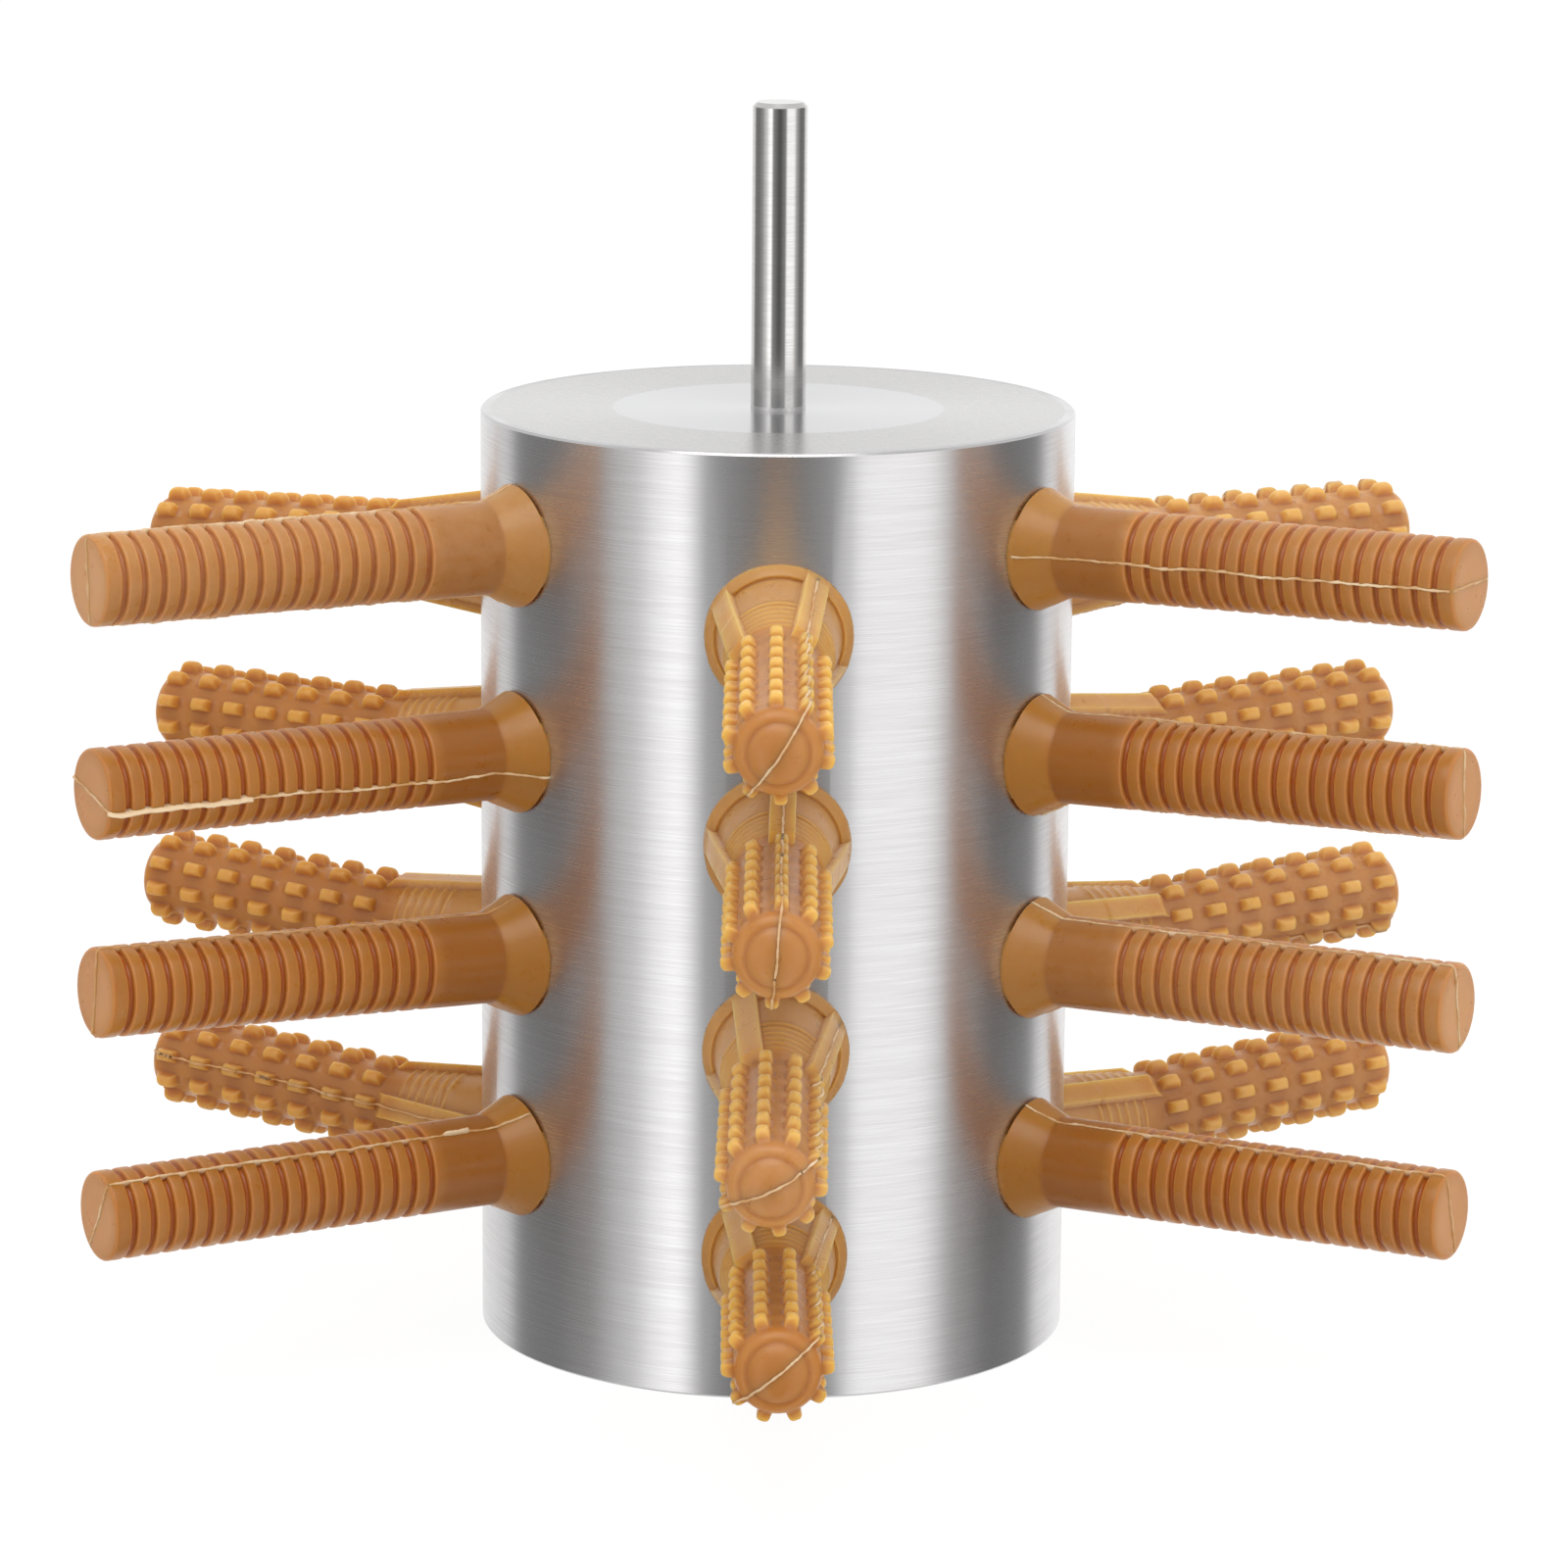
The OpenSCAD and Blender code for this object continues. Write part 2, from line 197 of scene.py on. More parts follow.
# Stainless steel, sizes in mm: a fine belt leaves lines round the drum, which spread reflections up and down.
# The plate is an even satin, the shank is ground bright, and the weld at its foot is dressed.
# Real lines are some hundredths of a mm wide; they are drawn coarser here, so that they show.
steel = {
    "tube": {"colour": "D7D6D7", "dull": "CBC9C9", "roughness": 0.28, "anisotropic": 0.85,
             "lineLength": 14.0, "lineWidth": 0.2, "lineDepth": 0.002},
    "plate": {"colour": "D0CFCE", "dull": "CDCCCB", "roughness": 0.28, "anisotropic": 0.45,
              "lineLength": 1.2, "lineWidth": 0.3, "lineDepth": 0.001, "discR": 30.0, "discBlend": 0.4,
              "disc": "CFCFD1", "discRoughness": 0.2},
    "bar": {"colour": "DAD9D8", "dull": "CCCAC8", "roughness": 0.14, "anisotropic": 0.15,
            "lineLength": 4.0, "lineWidth": 0.2, "lineDepth": 0.002},
    "foot": {"colour": "E9E8E7", "dull": "CFCDCB", "roughness": 0.36, "anisotropic": 0.0,
             "lineLength": 1.6, "lineWidth": 1.2, "lineDepth": 0.01},
    "weld": {"colour": "A9A6A2", "dull": "6F6A64", "roughness": 0.42, "anisotropic": 0.0,
             "lineLength": 1.6, "lineWidth": 1.2, "lineDepth": 0.02},
}


def brushedSteel(name, s):
    material, tree, shader = newMaterial(name, {"Metallic": 1.0, "Anisotropic": s["anisotropic"],
                                                "Anisotropic Rotation": 0.25})
    place = addNode(tree, "TexCoord").outputs["Object"]
    along, across = 1 / (s["lineLength"] * mm), 1 / (s["lineWidth"] * mm)
    stretched = addNode(tree, "Mapping", {"Scale": (along, along, across)}, {"Vector": place})
    lines = addNode(tree, "TexNoise", {"Scale": 1.0, "Detail": 3.0, "Roughness": 0.6}, {"Vector": stretched.outputs[0]})
    broad = addNode(tree, "Mapping", {"Scale": (along / 3, along / 3, across / 9)}, {"Vector": place})
    drift = addNode(tree, "TexNoise", {"Scale": 1.0, "Detail": 2.0}, {"Vector": broad.outputs[0]})
    both = addNode(tree, "Math", {1: 0.25}, {0: drift.outputs[0], 2: lines.outputs[0]}, operation="MULTIPLY_ADD")
    shade = addNode(tree, "MapRange", {1: 0.42, 2: 0.82}, {0: both.outputs[0]})
    tint = addNode(tree, "Mix", {6: linear(s["dull"]), 7: linear(s["colour"])}, {0: shade.outputs[0]}, data_type="RGBA")
    if "disc" in s:    # a round patch in the middle, blended finer, looks paler than the sheet round it
        flat = addNode(tree, "Mapping", {"Scale": (1, 1, 0)}, {"Vector": place})
        off = addNode(tree, "VectorMath", links={0: flat.outputs[0]}, operation="LENGTH").outputs["Value"]
        start, end = (s["discR"] + s["discBlend"]) * mm, (s["discR"] - s["discBlend"]) * mm
        inside = addNode(tree, "MapRange", {1: start, 2: end}, {0: off})
        tint = addNode(tree, "Mix", {7: linear(s["disc"])}, {0: inside.outputs[0], 6: tint.outputs[2]},
                       data_type="RGBA")
    tree.links.new(tint.outputs[2], shader.inputs["Base Color"])
    rough = addNode(tree, "MapRange", {1: 0.42, 2: 0.82, 3: s["roughness"] + 0.03, 4: s["roughness"] - 0.02},
                    {0: both.outputs[0]}).outputs[0]
    if "disc" in s:
        rough = addNode(tree, "Mix", {3: s["discRoughness"]}, {0: inside.outputs[0], 2: rough}).outputs[0]
    tree.links.new(rough, shader.inputs["Roughness"])
    scratch = addNode(tree, "Bump", {"Strength": 0.5, "Distance": s["lineDepth"] * mm}, {"Height": lines.outputs[0]})
    tree.links.new(scratch.outputs[0], shader.inputs["Normal"])
    if s["anisotropic"]:
        circling = addNode(tree, "Tangent", direction_type="RADIAL", axis="Z")
        tree.links.new(circling.outputs[0], shader.inputs["Tangent"])
    return material


def dress(node, material):
    mesh = frame["nodes"][node].data
    mesh.materials.clear()
    mesh.materials.append(material)


dress("drum_tube", brushedSteel("stainlessTubeBeltBrushed", steel["tube"]))
dress("top_plate", brushedSteel("stainlessSheetSatin", steel["plate"]))
dress("drive_shaft", brushedSteel("stainlessBarGround", steel["bar"]))
dress("shaft_foot_weld", brushedSteel("stainlessWeldDressedBright", steel["foot"]))
weldBead = brushedSteel("stainlessWeldBead", steel["weld"])
for bead in ("spigot_weld", "plate_rim_weld"):
    dress(bead, weldBead)
print("steel dressed")

# Moulded natural rubber: caramel and a little see-through, so thin parts glow; their gold and the grooves' deep orange
# are also painted on, as painted glow and painted shade
rubber = {
    # Painted light among these colours: the gold is a painted glow on the nubs and the collar cone, the deep orange a
    # painted shade in the grooves, the pale a painted highlight on land edges, end faces and tips, and the stem colour
    # a painted shade on a ribbed finger's plain stem but a paler tone on a nubbed finger's shank; the haze is a whitish
    # bloom that is partly a painted sheen
    "ribbed": {"colour": "B27830", "mottle": "A86E28", "painted_glow": "B28238", "deep": "A85600", "smooth": "A0651F",
               "painted_sheen": "D49A68", "bloom_and_sheen": "DEB688", "through": (1.0, 0.6, 0.25), "reach": 1.6, "share": 0.7},
    "nubbed": {"colour": "B87C3C", "mottle": "AE7030", "painted_glow": "DCAE5A", "smooth": "C89A5C", "painted_sheen": "C48E50",
               "bloom_and_sheen": "DDB488", "through": (1.0, 0.95, 0.45), "reach": 6.0, "share": 0.85},
}    # through: how far red, green and blue light gets, as shares of reach in mm
rubberGrain = {
    "mottleSize": 14.0, "bloomSize": 3.5, "grainSize": 0.7, "grainDepth": 0.03,    # mm
    "speckSpacing": 17.0, "speckSize": 0.28, "speckShare": 0.5, "speckColour": "4A3320",
    "roughness": (0.24, 0.42),          # where the bloom is thin and thick
}
paints = ("smooth", "painted_glow", "deep", "painted_sheen")    # colours that the meshes carry as point values, most of them painted light and shade


def mouldedRubber(name, r):
    material, tree, shader = newMaterial(name, {
        "IOR": 1.52, "Specular IOR Level": 0.36, "Subsurface Weight": r["share"], "Subsurface Radius": r["through"],
        "Subsurface Scale": r["reach"] * mm, "Subsurface Anisotropy": 0.4})
    g = rubberGrain
    place = addNode(tree, "TexCoord").outputs["Object"]
    mottle = addNode(tree, "TexNoise", {"Scale": 1 / (g["mottleSize"] * mm), "Detail": 3.0}, {"Vector": place})
    grain = addNode(tree, "TexNoise", {"Scale": 1 / (g["grainSize"] * mm), "Detail": 3.0}, {"Vector": place})
    bloom = addNode(tree, "TexNoise", {"Scale": 1 / (g["bloomSize"] * mm), "Detail": 5.0, "Roughness": 0.7},
                    {"Vector": place})
    specks = addNode(tree, "TexVoronoi", {"Scale": 1 / (g["speckSpacing"] * mm)}, {"Vector": place})
    spread = addNode(tree, "MapRange", {1: 0.35, 2: 0.65}, {0: mottle.outputs[0]})
    patchy = addNode(tree, "MapRange", {1: 0.3, 2: 0.7, 3: 0.4, 4: 1.0}, {0: bloom.outputs[0]})
    # a whitish bloom by finger, partly a painted sheen
    bloomSheenAmount = addNode(tree, "Attribute", attribute_name="bloom_and_sheen")
    bloomSheenShare = addNode(tree, "Math", links={0: patchy.outputs[0], 1: bloomSheenAmount.outputs["Fac"]}, operation="MULTIPLY")
    speck = g["speckSize"] / g["speckSpacing"]
    dark = addNode(tree, "MapRange", {1: speck * 0.4, 2: speck, 3: g["speckShare"], 4: 0.0},
                   {0: specks.outputs["Distance"]})
    layers = [(spread.outputs[0], r["mottle"])]
    for paint in paints:
        if paint in r:
            painted = addNode(tree, "Attribute", attribute_name=paint)
            layers.append((painted.outputs["Fac"], r[paint]))
    layers += [(bloomSheenShare.outputs[0], r["bloom_and_sheen"]), (dark.outputs[0], g["speckColour"])]
    last = None
    for mask, colour in layers:    # each layer is laid over the ones before it
        step = addNode(tree, "Mix", {6: linear(r["colour"]), 7: linear(colour)}, {0: mask}, data_type="RGBA")
        if last:
            tree.links.new(last.outputs[2], step.inputs[6])
        last = step
    tree.links.new(last.outputs[2], shader.inputs["Base Color"])
    thin, thick = g["roughness"]
    rough = addNode(tree, "MapRange", {1: 0.3, 2: 0.7, 3: thin, 4: thick}, {0: bloom.outputs[0]})
    tree.links.new(rough.outputs[0], shader.inputs["Roughness"])
    skin = addNode(tree, "Bump", {"Strength": 0.35, "Distance": g["grainDepth"] * mm}, {"Height": grain.outputs[0]})
    tree.links.new(skin.outputs[0], shader.inputs["Normal"])
    return material


# Moulding flash: the thin pale line that the mould's parting leaves along both sides and over the tip, in mm
flashLine = {
    "spacing": 0.5, "halfWidth": 0.19, "height": 0.16, "lowest": 0.04, "ragged": 0.18, "sway": 0.28, "jitter": 0.12,
    "depth": 0.5, "nubDepth": 0.1, "valleyDepth": 0.3,    # sunk in a ribbed finger, a nub and between nubs
    "finWider": 0.12, "tipZone": 1.5, "tipShare": 0.75, "faintShare": 0.3,
    "low": "CA9354", "high": "E9D0AA",
}


def rubberFlash():    # thin torn skin of the same rubber: pale where it stands free, lost in the body where it is low
    material, tree, shader = newMaterial("naturalRubberFlash", {"Roughness": 0.5, "IOR": 1.52})
    shown = addNode(tree, "Attribute", attribute_name="flash")
    tint = addNode(tree, "Mix", {6: linear(flashLine["low"]), 7: linear(flashLine["high"])}, {0: shown.outputs["Fac"]},
                   data_type="RGBA")
    tree.links.new(tint.outputs[2], shader.inputs["Base Color"])
    return material


rubberMaterials = {kind: mouldedRubber(kind + "NaturalRubberMoulded", r) for kind, r in rubber.items()}
flashMaterial = rubberFlash()

# Root that both kinds share, in mm: radius and height above the drum's surface
root = {"baseR": 13.0, "baseEdge": 1.0, "neckR": 9.1, "wall": drumR - plateR, "seat": 0.05}


def smoothStep(x, low, high):
    t = np.clip((x - low) / (high - low), 0, 1)
    return t * t * (3 - 2 * t)


def rootProfile(length):
    b, e, n, w, s = (root[k] for k in ("baseR", "baseEdge", "neckR", "wall", "seat"))
    inside = -w - s
    return [(b * 0.5, -length), (b - e, -length), (b - e * 0.3, -length + e * 0.3), (b, -length + e),
            (b, inside - 3), (b, inside - 0.5), (b - 0.15, inside - 0.12), (b - 0.5, inside), (n, inside),
            (n, inside / 2), (n, s)]


ribbed = {
    "length": 83.0, "rootLength": 12.0, "collarR": 11.0, "collarRim": 0.6, "coneEndR": 8.4, "coneEnd": 6.2,
    "shankR": 8.25, "shankStart": 6.9, "tipR": 8.0, "tipRound": 0.7,
    "grooveStart": 20.5, "grooves": 17, "groovePitch": 3.64, "grooveW": 1.35, "grooveDepth": 1.0,
    "columns": 96,
}
# One groove: share of its width along it, and share of its depth there
grooveCut = [(-0.22, 0), (-0.08, 0.05), (0.02, 0.22), (0.1, 0.86), (0.2, 1), (0.5, 1.02), (0.8, 1), (0.9, 0.86),
             (0.98, 0.22), (1.08, 0.05), (1.22, 0)]


def ribbedLand(s):    # radius of the plain stem, grooves left out
    return np.interp(s, [ribbed["shankStart"], ribbed["length"]], [ribbed["shankR"], ribbed["tipR"]])


def ribbedProfile():
    r = ribbed
    c, rim, end, e = r["collarR"], r["collarRim"], r["length"], r["tipRound"]
    lines = rootProfile(r["rootLength"])
    deep = [0] * len(lines)
    collar = [(c - 1.1, root["seat"] + 0.02), (c - 0.3, 0.3), (c - 0.03, rim - 0.1), (c, rim), (c - 0.06, rim + 0.12)]
    for share in (0.12, 0.4, 0.7, 0.93, 1):
        collar.append((c + (r["coneEndR"] - c) * share, rim + (r["coneEnd"] - rim) * share))
    collar += [(r["shankR"] + 0.08, r["coneEnd"] + 0.18), (r["shankR"] + 0.01, r["coneEnd"] + 0.36),
               (r["shankR"], r["shankStart"])]
    collar += [(float(ribbedLand(s)), s) for s in (9.5, 12, 15, 18)]
    lines += collar
    deep += [0] * len(collar)
    for i in range(r["grooves"]):
        start = r["grooveStart"] + i * r["groovePitch"]
        for along, cut in grooveCut + [(1.9, 0)]:
            s = start + along * r["grooveW"]
            if s < end - e - 0.1:
                lines.append((float(ribbedLand(s)) - cut * r["grooveDepth"], s))
                deep.append(min(cut, 1))
    tip = r["tipR"]
    cap = [(tip, end - e), (tip - 0.06 * e, end - 0.6 * e), (tip - 0.3 * e, end - 0.25 * e),
           (tip - 0.7 * e, end - 0.04 * e), (tip - 1.2 * e, end), (tip * 0.6, end - 0.02), (tip * 0.3, end - 0.05)]
    return np.array(lines + cap), np.array(deep + [0] * len(cap)), end - 0.06


nubbed = {
    "length": 83.6, "rootLength": 14.0, "flangeR": 13.1, "rim": 1.2, "bevel": 1.6, "cup": 0.3, "cupFloor": 0.5,
    "bodyR": 7.4, "tipRound": 2.5, "buttonR": 5.1, "buttonH": 2.0, "valley": 0.15,
    "rows": 10, "rings": 7, "pitch": 7.6, "inset": 6.4, "nubH": 2.1,
    "ridges": (0, 90, 180, 270), "ridgeW": 4.4, "ridgeH": 1.5, "ridgeInset": 0.4, "ridgeGap": 0.5,
    "fineRings": 6, "fineStart": 14.0, "finePitch": 2.1, "fineH": 0.32, "fineW": 1.0,
    "shankTone": (22, 27),              # where the shank's paler tone fades into the body's
}
# A nub's rounded form: distance from its middle in mm, and share of its height there
nubAcross = ([0, 0.4, 0.68, 0.88, 1.02, 1.13, 1.25], [1, 0.985, 0.92, 0.78, 0.5, 0.18, 0])
nubAlong = ([0, 0.8, 1.3, 1.65, 1.9, 2.05, 2.18], [1, 0.99, 0.93, 0.8, 0.56, 0.25, 0])


def buttonDome(share):    # the tip's button is a soft dome: share of its radius to height above the drum
    n = nubbed
    low = n["length"] - n["buttonH"] - n["valley"]
    return low + (n["length"] - low) * (1 - share ** 2) ** 0.7


def tipRounding(angles):    # radius and height on the rounded edge between the body and the button
    n = nubbed
    low, r = n["length"] - n["buttonH"] - n["tipRound"], n["tipRound"]
    return [(n["bodyR"] - r + r * cos(radians(a)), low + r * sin(radians(a))) for a in angles]


def nubMiddles():
    n = nubbed
    return [n["length"] - n["inset"] - k * n["pitch"] for k in range(n["rings"])][::-1]


def nubbedProfile():
    n = nubbed
    f, rim, bevel = n["flangeR"], n["rim"], n["bevel"]
    cupR, top = f - bevel, rim + bevel
    floor = top - n["cup"]
    lines = rootProfile(n["rootLength"])
    lines += [(f - 1.1, root["seat"] + 0.02), (f - 0.25, 0.3), (f, 0.55), (f, rim - 0.15), (f - 0.13, rim + 0.08),
              (cupR + 0.25, top - 0.12), (cupR, top)]
    cupFrom = len(lines)
    foot = cupR - n["cupFloor"]
    lines += [(cupR - 0.1, top - 0.06), (cupR - 0.18, floor + 0.08), (cupR - 0.3, floor), (foot + 0.1, floor),
              (foot - 0.1, floor + 0.2)]
    cupTo = len(lines)
    first = nubMiddles()[0] - nubAlong[0][-1]
    taperEnd = first - 2 * n["ridgeGap"]

    def shank(s):
        return float(np.interp(s, [floor, taperEnd], [foot, n["bodyR"]]))

    stations = [4, 6, 9, 12, 14.5]
    for i in range(n["fineRings"]):
        middle = n["fineStart"] + i * n["finePitch"]
        stations += [middle + share * n["fineW"] for share in (-0.5, -0.2, 0, 0.2, 0.5)]
    ridgeEnd = first - n["ridgeGap"]
    stations += [25.5, ridgeEnd - n["ridgeH"] - 0.3, ridgeEnd - n["ridgeH"], ridgeEnd - n["ridgeH"] * 0.5, ridgeEnd]
    for middle in nubMiddles():
        stations += [middle + side * d for side in (-1, 1) for d in nubAlong[0] if d or side > 0]
        stations.append(middle + n["pitch"] / 2)
    rounding = tipRounding((4, 16, 30, 45, 60, 70))
    stations = sorted(s for s in stations if s < rounding[0][1] - 0.05)
    lines += [(shank(s), s) for s in stations] + rounding
    b = n["buttonR"]
    lines.append((b + 0.15, buttonDome(1)))
    lines += [(b * share, buttonDome(share)) for share in (0.99, 0.96, 0.9, 0.8, 0.65, 0.5, 0.32, 0.15)]
    return np.array(lines), (cupFrom, cupTo), taperEnd, ridgeEnd


def nubbedColumns():    # degrees round the finger, with lines on every edge of a nub or ridge
    n = nubbed
    topEdge = degrees(n["ridgeW"] / 2 / (n["bodyR"] + n["ridgeH"]))
    footEdge = degrees(n["ridgeW"] / 2 / n["bodyR"]) + 0.5
    spacing = 360 / n["rows"]
    wanted = [ridge + side * edge for ridge in n["ridges"] for edge in (topEdge, footEdge) for side in (-1, 1)]
    wanted += [row * spacing + side * degrees(d / n["bodyR"])
               for row in range(n["rows"]) for d in nubAcross[0] for side in (-1, 1)]
    wanted += [(row + share) * spacing for row in range(n["rows"]) for share in (0.36, 0.5, 0.64)]
    columns = []
    for angle in wanted:
        angle = round(angle % 360, 3)
        if all(min(abs(angle - c), 360 - abs(angle - c)) > 0.4 for c in columns):
            columns.append(angle)
    return np.array(sorted(columns)), topEdge, footEdge


def nubbedGrid():    # radius, angle and height of each grid point, and how far it stands out
    n = nubbed
    lines, (cupFrom, cupTo), taperEnd, ridgeEnd = nubbedProfile()
    columns, topEdge, footEdge = nubbedColumns()
    base, s = lines[:, 0], lines[:, 1]
    ridgeS = s.copy()
    ridgeS[cupFrom:cupTo] = np.linspace(s[cupFrom - 1], s[cupTo], cupTo - cupFrom + 2)[1:-1]
    rimS = n["rim"] / 2
    ridgeTop = np.interp(ridgeS, [rimS, ridgeEnd - n["ridgeH"], ridgeEnd],
                         [n["flangeR"] - n["ridgeInset"], n["bodyR"] + n["ridgeH"], n["bodyR"]])
    onRidge = (s > rimS) & (s < ridgeEnd + 0.01)
    half = n["ridgeW"] / 2
    topNow = np.where(onRidge, np.degrees(np.arcsin(np.clip(half / ridgeTop, 0, 0.5))), topEdge)
    footNow = np.where(onRidge, np.degrees(np.arcsin(np.clip((half + 0.08) / base, 0, 0.5))), footEdge)
    footNow = np.maximum(footNow, topNow + 0.5)
    angle = np.empty((len(lines), len(columns)))
    for i in range(len(lines)):    # the columns beside a ridge follow its edges as the finger tapers
        drawn, now = [], []
        for ridge in n["ridges"]:
            drawn += [ridge - footEdge, ridge - topEdge, ridge, ridge + topEdge, ridge + footEdge]
            now += [ridge - footNow[i], ridge - topNow[i], ridge, ridge + topNow[i], ridge + footNow[i]]
        drawn, now = np.array(drawn), np.array(now)
        angle[i] = np.interp(columns, np.r_[drawn - 360, drawn, drawn + 360], np.r_[now - 360, now, now + 360])
    radius = np.repeat(base[:, None], len(columns), 1)
    height = np.repeat(s[:, None], len(columns), 1)
    raised = np.zeros_like(radius)

    fine = np.zeros(len(s))
    for i in range(n["fineRings"]):
        off = np.abs(s - n["fineStart"] - i * n["finePitch"]) / n["fineW"]
        fine = np.maximum(fine, np.clip(1.25 - 2.5 * off, 0, 1))
    radius += (fine * n["fineH"])[:, None]

    away = np.abs((columns[:, None] - np.array(n["ridges"])[None, :] + 180) % 360 - 180).min(1)
    isTop = away < topEdge + 0.01
    nowAway = np.abs((angle[:, :, None] - np.array(n["ridges"])[None, None, :] + 180) % 360 - 180).min(2)
    ridgeR = ridgeTop[:, None] / np.cos(np.radians(nowAway))
    standing = onRidge[:, None] & isTop[None, :] & (ridgeR > radius)
    radius = np.where(standing, ridgeR, radius)
    height = np.where(standing, ridgeS[:, None], height)
    raised = np.where(standing, 0.45, raised)

    spacing = 360 / n["rows"]
    offset = n["bodyR"] * np.sin(np.radians((columns + spacing / 2) % spacing - spacing / 2))
    across = np.interp(np.abs(offset), *nubAcross)
    along = np.zeros(len(s))
    for middle in nubMiddles():
        along = np.maximum(along, np.interp(np.abs(s - middle), *nubAlong, right=0))
    along[:cupTo] = 0
    nub = along[:, None] * across[None, :]
    radius += nub * (n["bodyR"] + n["nubH"] - radius)
    raised = np.maximum(raised, nub)
    return radius, np.radians(angle), height, raised, n["length"]


def gridFaces(rows, columns):    # closed round, with one point at each end
    i, j = np.meshgrid(np.arange(rows - 1), np.arange(columns), indexing="ij")
    a = 1 + i * columns + j
    b = 1 + i * columns + (j + 1) % columns
    quads = np.stack([a, b, b + columns, a + columns], -1).reshape(-1, 4).tolist()
    j = np.arange(columns)
    k = (j + 1) % columns
    last, end = 1 + (rows - 1) * columns, 1 + rows * columns
    inner = np.stack([np.zeros_like(j), 1 + k, 1 + j], -1).tolist()
    outer = np.stack([np.full_like(j, end), last + j, last + k], -1).tolist()
    return quads + inner + outer


def flashStrip(path, rng, turn, fin, depth):
    f = flashLine
    step = np.hypot(*np.diff(path, axis=0).T)
    run = np.r_[0, np.cumsum(step)]
    stations = np.arange(0, run[-1], f["spacing"])
    line = np.stack([np.interp(stations, run, path[:, k]) for k in (0, 1)], -1)
    ahead = np.gradient(line, axis=0)
    ahead /= np.hypot(*ahead.T)[:, None]
    outward = np.stack([ahead[:, 1], -ahead[:, 0]], -1)
    count = len(stations)

    def wavering(step):    # smooth random line from -1 to 1, with a knot at each step
        knots = rng.uniform(-1, 1, int(run[-1] / step) + 3)
        return np.interp(stations, np.arange(len(knots)) * step, knots)

    rise = f["height"] + f["ragged"] * (wavering(2) + rng.uniform(-0.5, 0.5, count))
    sway = f["sway"] * wavering(9) + f["jitter"] * wavering(1.2)
    width = f["halfWidth"] * (1 + 0.35 * rng.uniform(-1, 1, count))
    shown = np.clip(0.5 + 0.45 * wavering(6) + 0.4 * wavering(1.5), 0.1, 1)
    onTip = line[:, 1] > line[:, 1].max() - f["tipZone"]
    shown = np.where(onTip, shown * f["tipShare"], shown)    # fainter over the tip
    if fin:    # a taller torn fin on one side of the finger
        low, high, tall = fin
        inFin = (line[:, 1] > low) & (line[:, 1] < high) & (line[:, 0] > 0)
        rise = rise + inFin * tall
        width = width + inFin * f["finWider"]
        shown = np.maximum(shown, inFin)
    rise = np.maximum(rise, f["lowest"])
    deep = depth(line)
    cut = [(-1, -1), (-1, 0.7), (-0.45, 1), (0.45, 1), (1, 0.7), (1, -1)]
    rings = []
    for side, level in cut:
        reach = rise * level if level > 0 else -deep
        flat = line + outward * reach[:, None]
        lateral = side * width + sway
        rings.append(np.stack([flat[:, 0] * cos(turn) - lateral * sin(turn),
                               flat[:, 0] * sin(turn) + lateral * cos(turn), flat[:, 1]], -1))
    points = np.stack(rings, 1)
    sides = len(cut)
    faces = []
    for i in range(count - 1):
        for j in range(sides):
            a, b = i * sides + j, i * sides + (j + 1) % sides
            faces.append([a, a + sides, b + sides, b])
    faces.append(list(range(sides)))
    faces.append([(count - 1) * sides + j for j in reversed(range(sides))])
    return points.reshape(-1, 3), faces, np.repeat(shown, sides)


def ribbedFlashPath():
    r = ribbed
    up = [(r["collarR"], 0.5), (r["collarR"], r["collarRim"]), (r["coneEndR"], r["coneEnd"]),
          (r["shankR"], r["shankStart"]), (r["tipR"], r["length"] - r["tipRound"]),
          (r["tipR"] - r["tipRound"], r["length"])]
    return np.array(up + [(-x, s) for x, s in reversed(up)])


def nubbedFlashPath():
    n = nubbed
    first = nubMiddles()[0] - nubAlong[0][-1]
    ridgeEnd = first - n["ridgeGap"]
    up = [(n["flangeR"] - n["ridgeInset"], n["rim"] / 2), (n["bodyR"] + n["ridgeH"], ridgeEnd - n["ridgeH"])]
    for middle in nubMiddles():
        for d in (-2.6, -1.9, -1.3, 1.3, 1.9, 2.6)[:5 if middle == nubMiddles()[-1] else 6]:
            up.append((n["bodyR"] + n["nubH"] * float(np.interp(abs(d), *nubAlong, right=0.12)), middle + d))
    up.append((n["bodyR"] + 0.5 * n["nubH"], nubMiddles()[-1] + nubAlong[0][-1]))    # a web down the last nub's end
    up += tipRounding((30, 50, 68))
    up += [(n["buttonR"] * share, buttonDome(share)) for share in (1, 0.96, 0.8, 0.5, 0.2)]
    return np.array(up + [(-x, s) for x, s in reversed(up)])


# How each finger lies, top row first: lift and sideways lean of the tip and turn about its length, in degrees
lying = {
    "front": {"lift": (-2.5, 0, -1, 3), "lean": (-0.5, -0.5, -1, 0), "turn": (57, 85, 28, 38)},
    "front_right": {"lift": (1, 1.5, 1, 1), "lean": (0, 0, 0, 0), "turn": (0, 90, 100, 106)},
    "rear_right": {"lift": (0, 1, 2.5, 4), "lean": (-3, 0, -3, -2), "turn": (70, 118, 49, 129)},
    "rear": {"lift": (0.5, 0, 0.5, 0), "lean": (0, 0, 0, 0), "turn": (20, 75, 130, 160)},
    "rear_left": {"lift": (-2.5, -0.5, 3.5, 4), "lean": (0, -1, 3, 1), "turn": (9, 94, 174, 14)},
    "front_left": {"lift": (0.5, 0.5, 2, 0), "lean": (0, 0, 0, 0), "turn": (94, -14, 85, 59)},
}
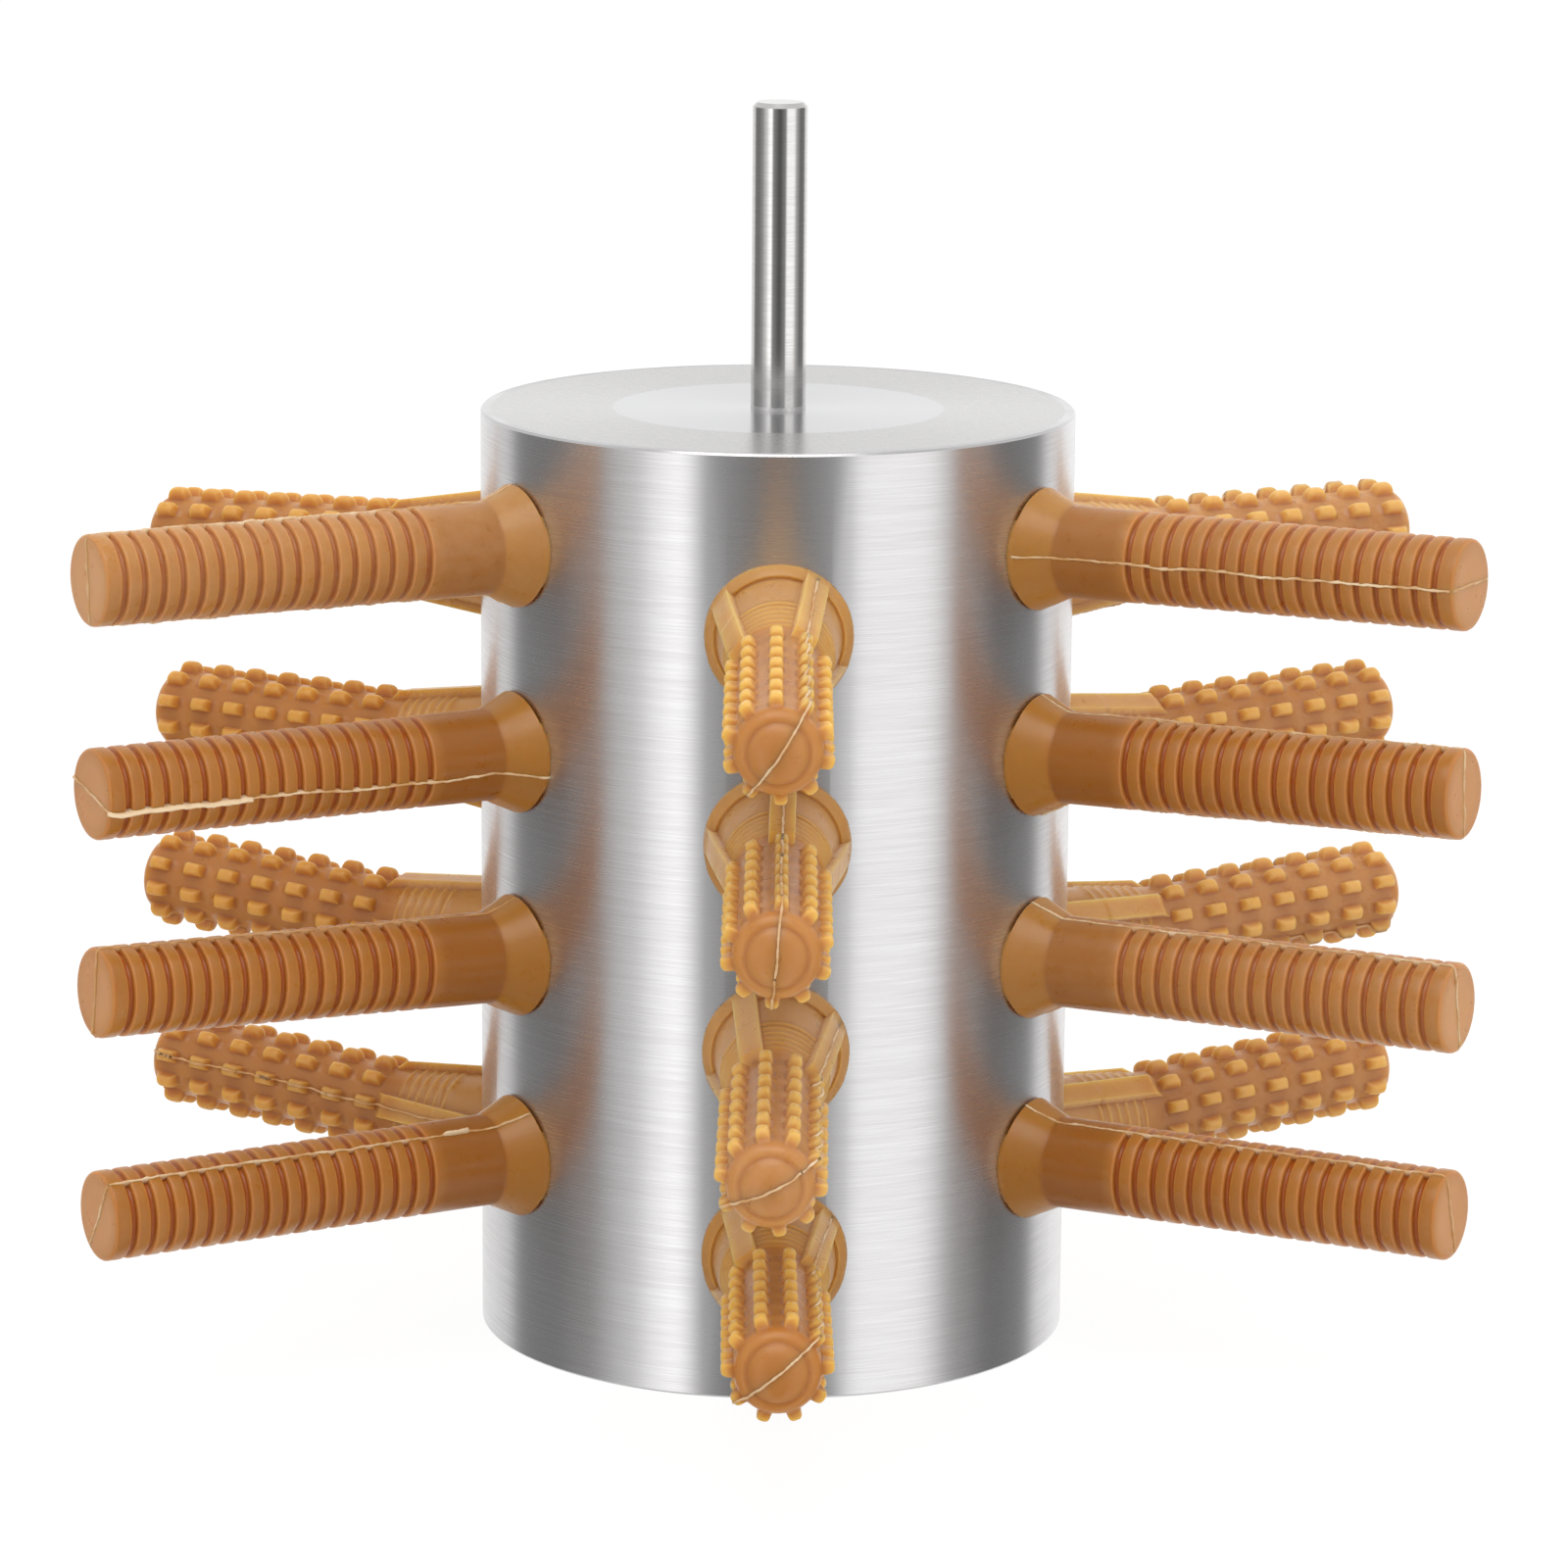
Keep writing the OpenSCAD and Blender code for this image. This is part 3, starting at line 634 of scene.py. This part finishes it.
bloom_and_sheen = {"front_left_1": 0.28, "front_right_3": 0.2, "front_right_1": 0.12,
        "front_1": 0.1, "front_2": 0.14, "front_3": 0.3,
        "rear_right_1": 0.45, "rear_right_2": 0.35, "rear_right_3": 0.4, "rear_right_4": 0.35,
        "rear_left_1": 0.12, "rear_left_2": 0.08, "rear_left_3": 0.08, "rear_left_4": 0.12}    # pale bloom by finger, partly a painted sheen on fingers that the light catches more
nubPaintedGlow = {"front": 0.85, "rear_right": 0.55, "rear_left": 0.4}    # how golden the nubs of a column are painted: a painted glow, stronger where the light falls on that column
faintFlash = ("front_left_3", "rear_left_4", "rear_right_3")
trimmedFlash = ("rear_left_2", "rear_left_3", "rear_right_2", "rear_right_4")    # cut flush, so no line stands up
tornFins = {"ribbed_finger_front_left_2": (56, 82.8, 0.95), "ribbed_finger_front_left_4": (12, 17, 0.7)}


def layOnDrum(points, lift, lean):    # presses collar and base to the drum's curve, then tilts the free length
    x, y, s = points.T
    outer = np.sqrt(drumR ** 2 - x ** 2) - drumR
    inner = np.sqrt(plateR ** 2 - x ** 2) - plateR
    s = s + outer * (1 - smoothStep(s, 1.6, 8)) * (s > -0.2 * root["wall"])
    s = s + inner * smoothStep(s, -7, -3.2) * (s <= -0.2 * root["wall"])
    share = smoothStep(s, 0.5, 7)
    up, side = np.radians(lift) * share, np.radians(lean) * share
    y, s = y * np.cos(up) + s * np.sin(up), s * np.cos(up) - y * np.sin(up)
    x, s = x * np.cos(side) + s * np.sin(side), s * np.cos(side) - x * np.sin(side)
    return np.stack([x, y, s + drumR], -1)


def addFinger(joint, seed):
    name = joint["child"]
    kind, spot = name.split("_finger_")
    column, row = spot[:-2], int(spot[-1]) - 1
    how = {k: v[row] for k, v in lying[column].items()}
    turn = radians(how["turn"])
    rng = np.random.default_rng(seed)
    if kind == "ribbed":
        lines, cut, tipS = ribbedProfile()
        columns = np.linspace(0, 2 * pi, ribbed["columns"], endpoint=False)
        radius = np.repeat(lines[:, :1], len(columns), 1)
        height = np.repeat(lines[:, 1:], len(columns), 1)
        angle = np.repeat(columns[None, :], len(lines), 0)
        s = lines[:, 1]
        coneEnd, grooveStart, tipR = (ribbed[k] for k in ("coneEnd", "grooveStart", "tipR"))
        onShank = smoothStep(s, coneEnd, coneEnd + 0.4) * (1 - smoothStep(s, grooveStart - 2, grooveStart))
        onCone = (s > 0) * (1 - smoothStep(s, coneEnd - 0.3, coneEnd))
        edges = 0.35 * (cut > 0) * (cut < 0.3)    # the lands' edges catch the light
        onEnd = (s > ribbed["length"] - 0.3) * np.interp(lines[:, 0], [0.6 * tipR, tipR], [0.6, 0.3])
        # painted: a glow on the collar cone, shade on the plain stem and in the grooves, a highlight on the lands'
        # edges and the end face
        bands = {"smooth": onShank, "painted_glow": 0.4 * onCone, "deep": cut * (cut > 0.3), "painted_sheen": edges + onEnd}
        paint = {k: np.repeat(v[:, None], len(columns), 1) for k, v in bands.items()}
        inner = ribbed["rootLength"]
        path = ribbedFlashPath()
        floor = ribbed["grooveDepth"] + 0.15
        sunk = lambda line: np.where(np.abs(line[:, 0]) > tipR - 0.3, floor, flashLine["depth"])
    else:
        radius, angle, height, raised, tipS = nubbedGrid()
        onTip = height > nubbed["length"] - nubbed["buttonH"] - 1
        onShank = (1 - smoothStep(height, *nubbed["shankTone"])) * (height > nubbed["rim"])
        # painted: a glow on the nubs, set per column, and a highlight over the tip; the shank's tone is paler
        paint = {"smooth": 0.6 * onShank, "painted_glow": raised * nubPaintedGlow[column], "painted_sheen": 0.35 * onTip}
        inner = nubbed["rootLength"]
        path = nubbedFlashPath()
        nubTop = nubbed["bodyR"] + 0.5 * nubbed["nubH"]
        sunk = lambda line: np.where(np.abs(line[:, 0]) > nubTop, flashLine["nubDepth"], flashLine["valleyDepth"])
    paint["bloom_and_sheen"] = np.full(radius.shape, bloom_and_sheen.get(spot, 0.02))
    swell = 1 + 0.004 * np.sin(2 * angle + rng.uniform(0, 6)) * np.sin(height / 17 + rng.uniform(0, 6))
    x, y = radius * swell * np.cos(angle + turn), radius * swell * np.sin(angle + turn)
    body = np.stack([x, y, height], -1).reshape(-1, 3)
    body = np.vstack([[0, 0, -inner], body, [0, 0, tipS]])
    faces = gridFaces(*radius.shape)
    strip, stripFaces, shown = np.zeros((0, 3)), [], np.zeros(0)
    if spot not in trimmedFlash:
        strip, stripFaces, shown = flashStrip(path, rng, turn, tornFins.get(name), sunk)
    faces += [[v + len(body) for v in face] for face in stripFaces]
    points = layOnDrum(np.vstack([body, strip]), how["lift"], how["lean"])

    middle = Vector(joint["pos_m"])
    spin = atan2(middle.x, -middle.y)
    world = np.stack([points[:, 0] * cos(spin) + points[:, 2] * sin(spin),
                      points[:, 0] * sin(spin) - points[:, 2] * cos(spin), points[:, 1] + middle.z / mm], -1)
    mesh = bpy.data.meshes.new(name + "_rubber")
    mesh.from_pydata((world * mm).tolist(), [], faces)
    mesh.polygons.foreach_set("use_smooth", [True] * len(mesh.polygons))
    for layer, values in paint.items():
        painted = mesh.attributes.new(layer, "FLOAT", "POINT")
        painted.data.foreach_set("value", np.r_[0, values.ravel(), values[-1, 0], np.zeros(len(strip))])
    painted = mesh.attributes.new("flash", "FLOAT", "POINT")
    shown = shown * (flashLine["faintShare"] if spot in faintFlash else 1)
    painted.data.foreach_set("value", np.r_[np.zeros(len(body)), shown])
    mesh.materials.append(rubberMaterials[kind])
    mesh.materials.append(flashMaterial)
    mesh.polygons.foreach_set("material_index", [0] * (len(faces) - len(stripFaces)) + [1] * len(stripFaces))
    piece = bpy.data.objects.new(name + "_rubber", mesh)
    bpy.context.scene.collection.objects.link(piece)
    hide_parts(name)
    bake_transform(piece)
    return len(mesh.polygons)


total = sum(addFinger(joint, seed) for seed, joint in enumerate(frame["joints"]))
print("fingers moulded:", total, "faces")
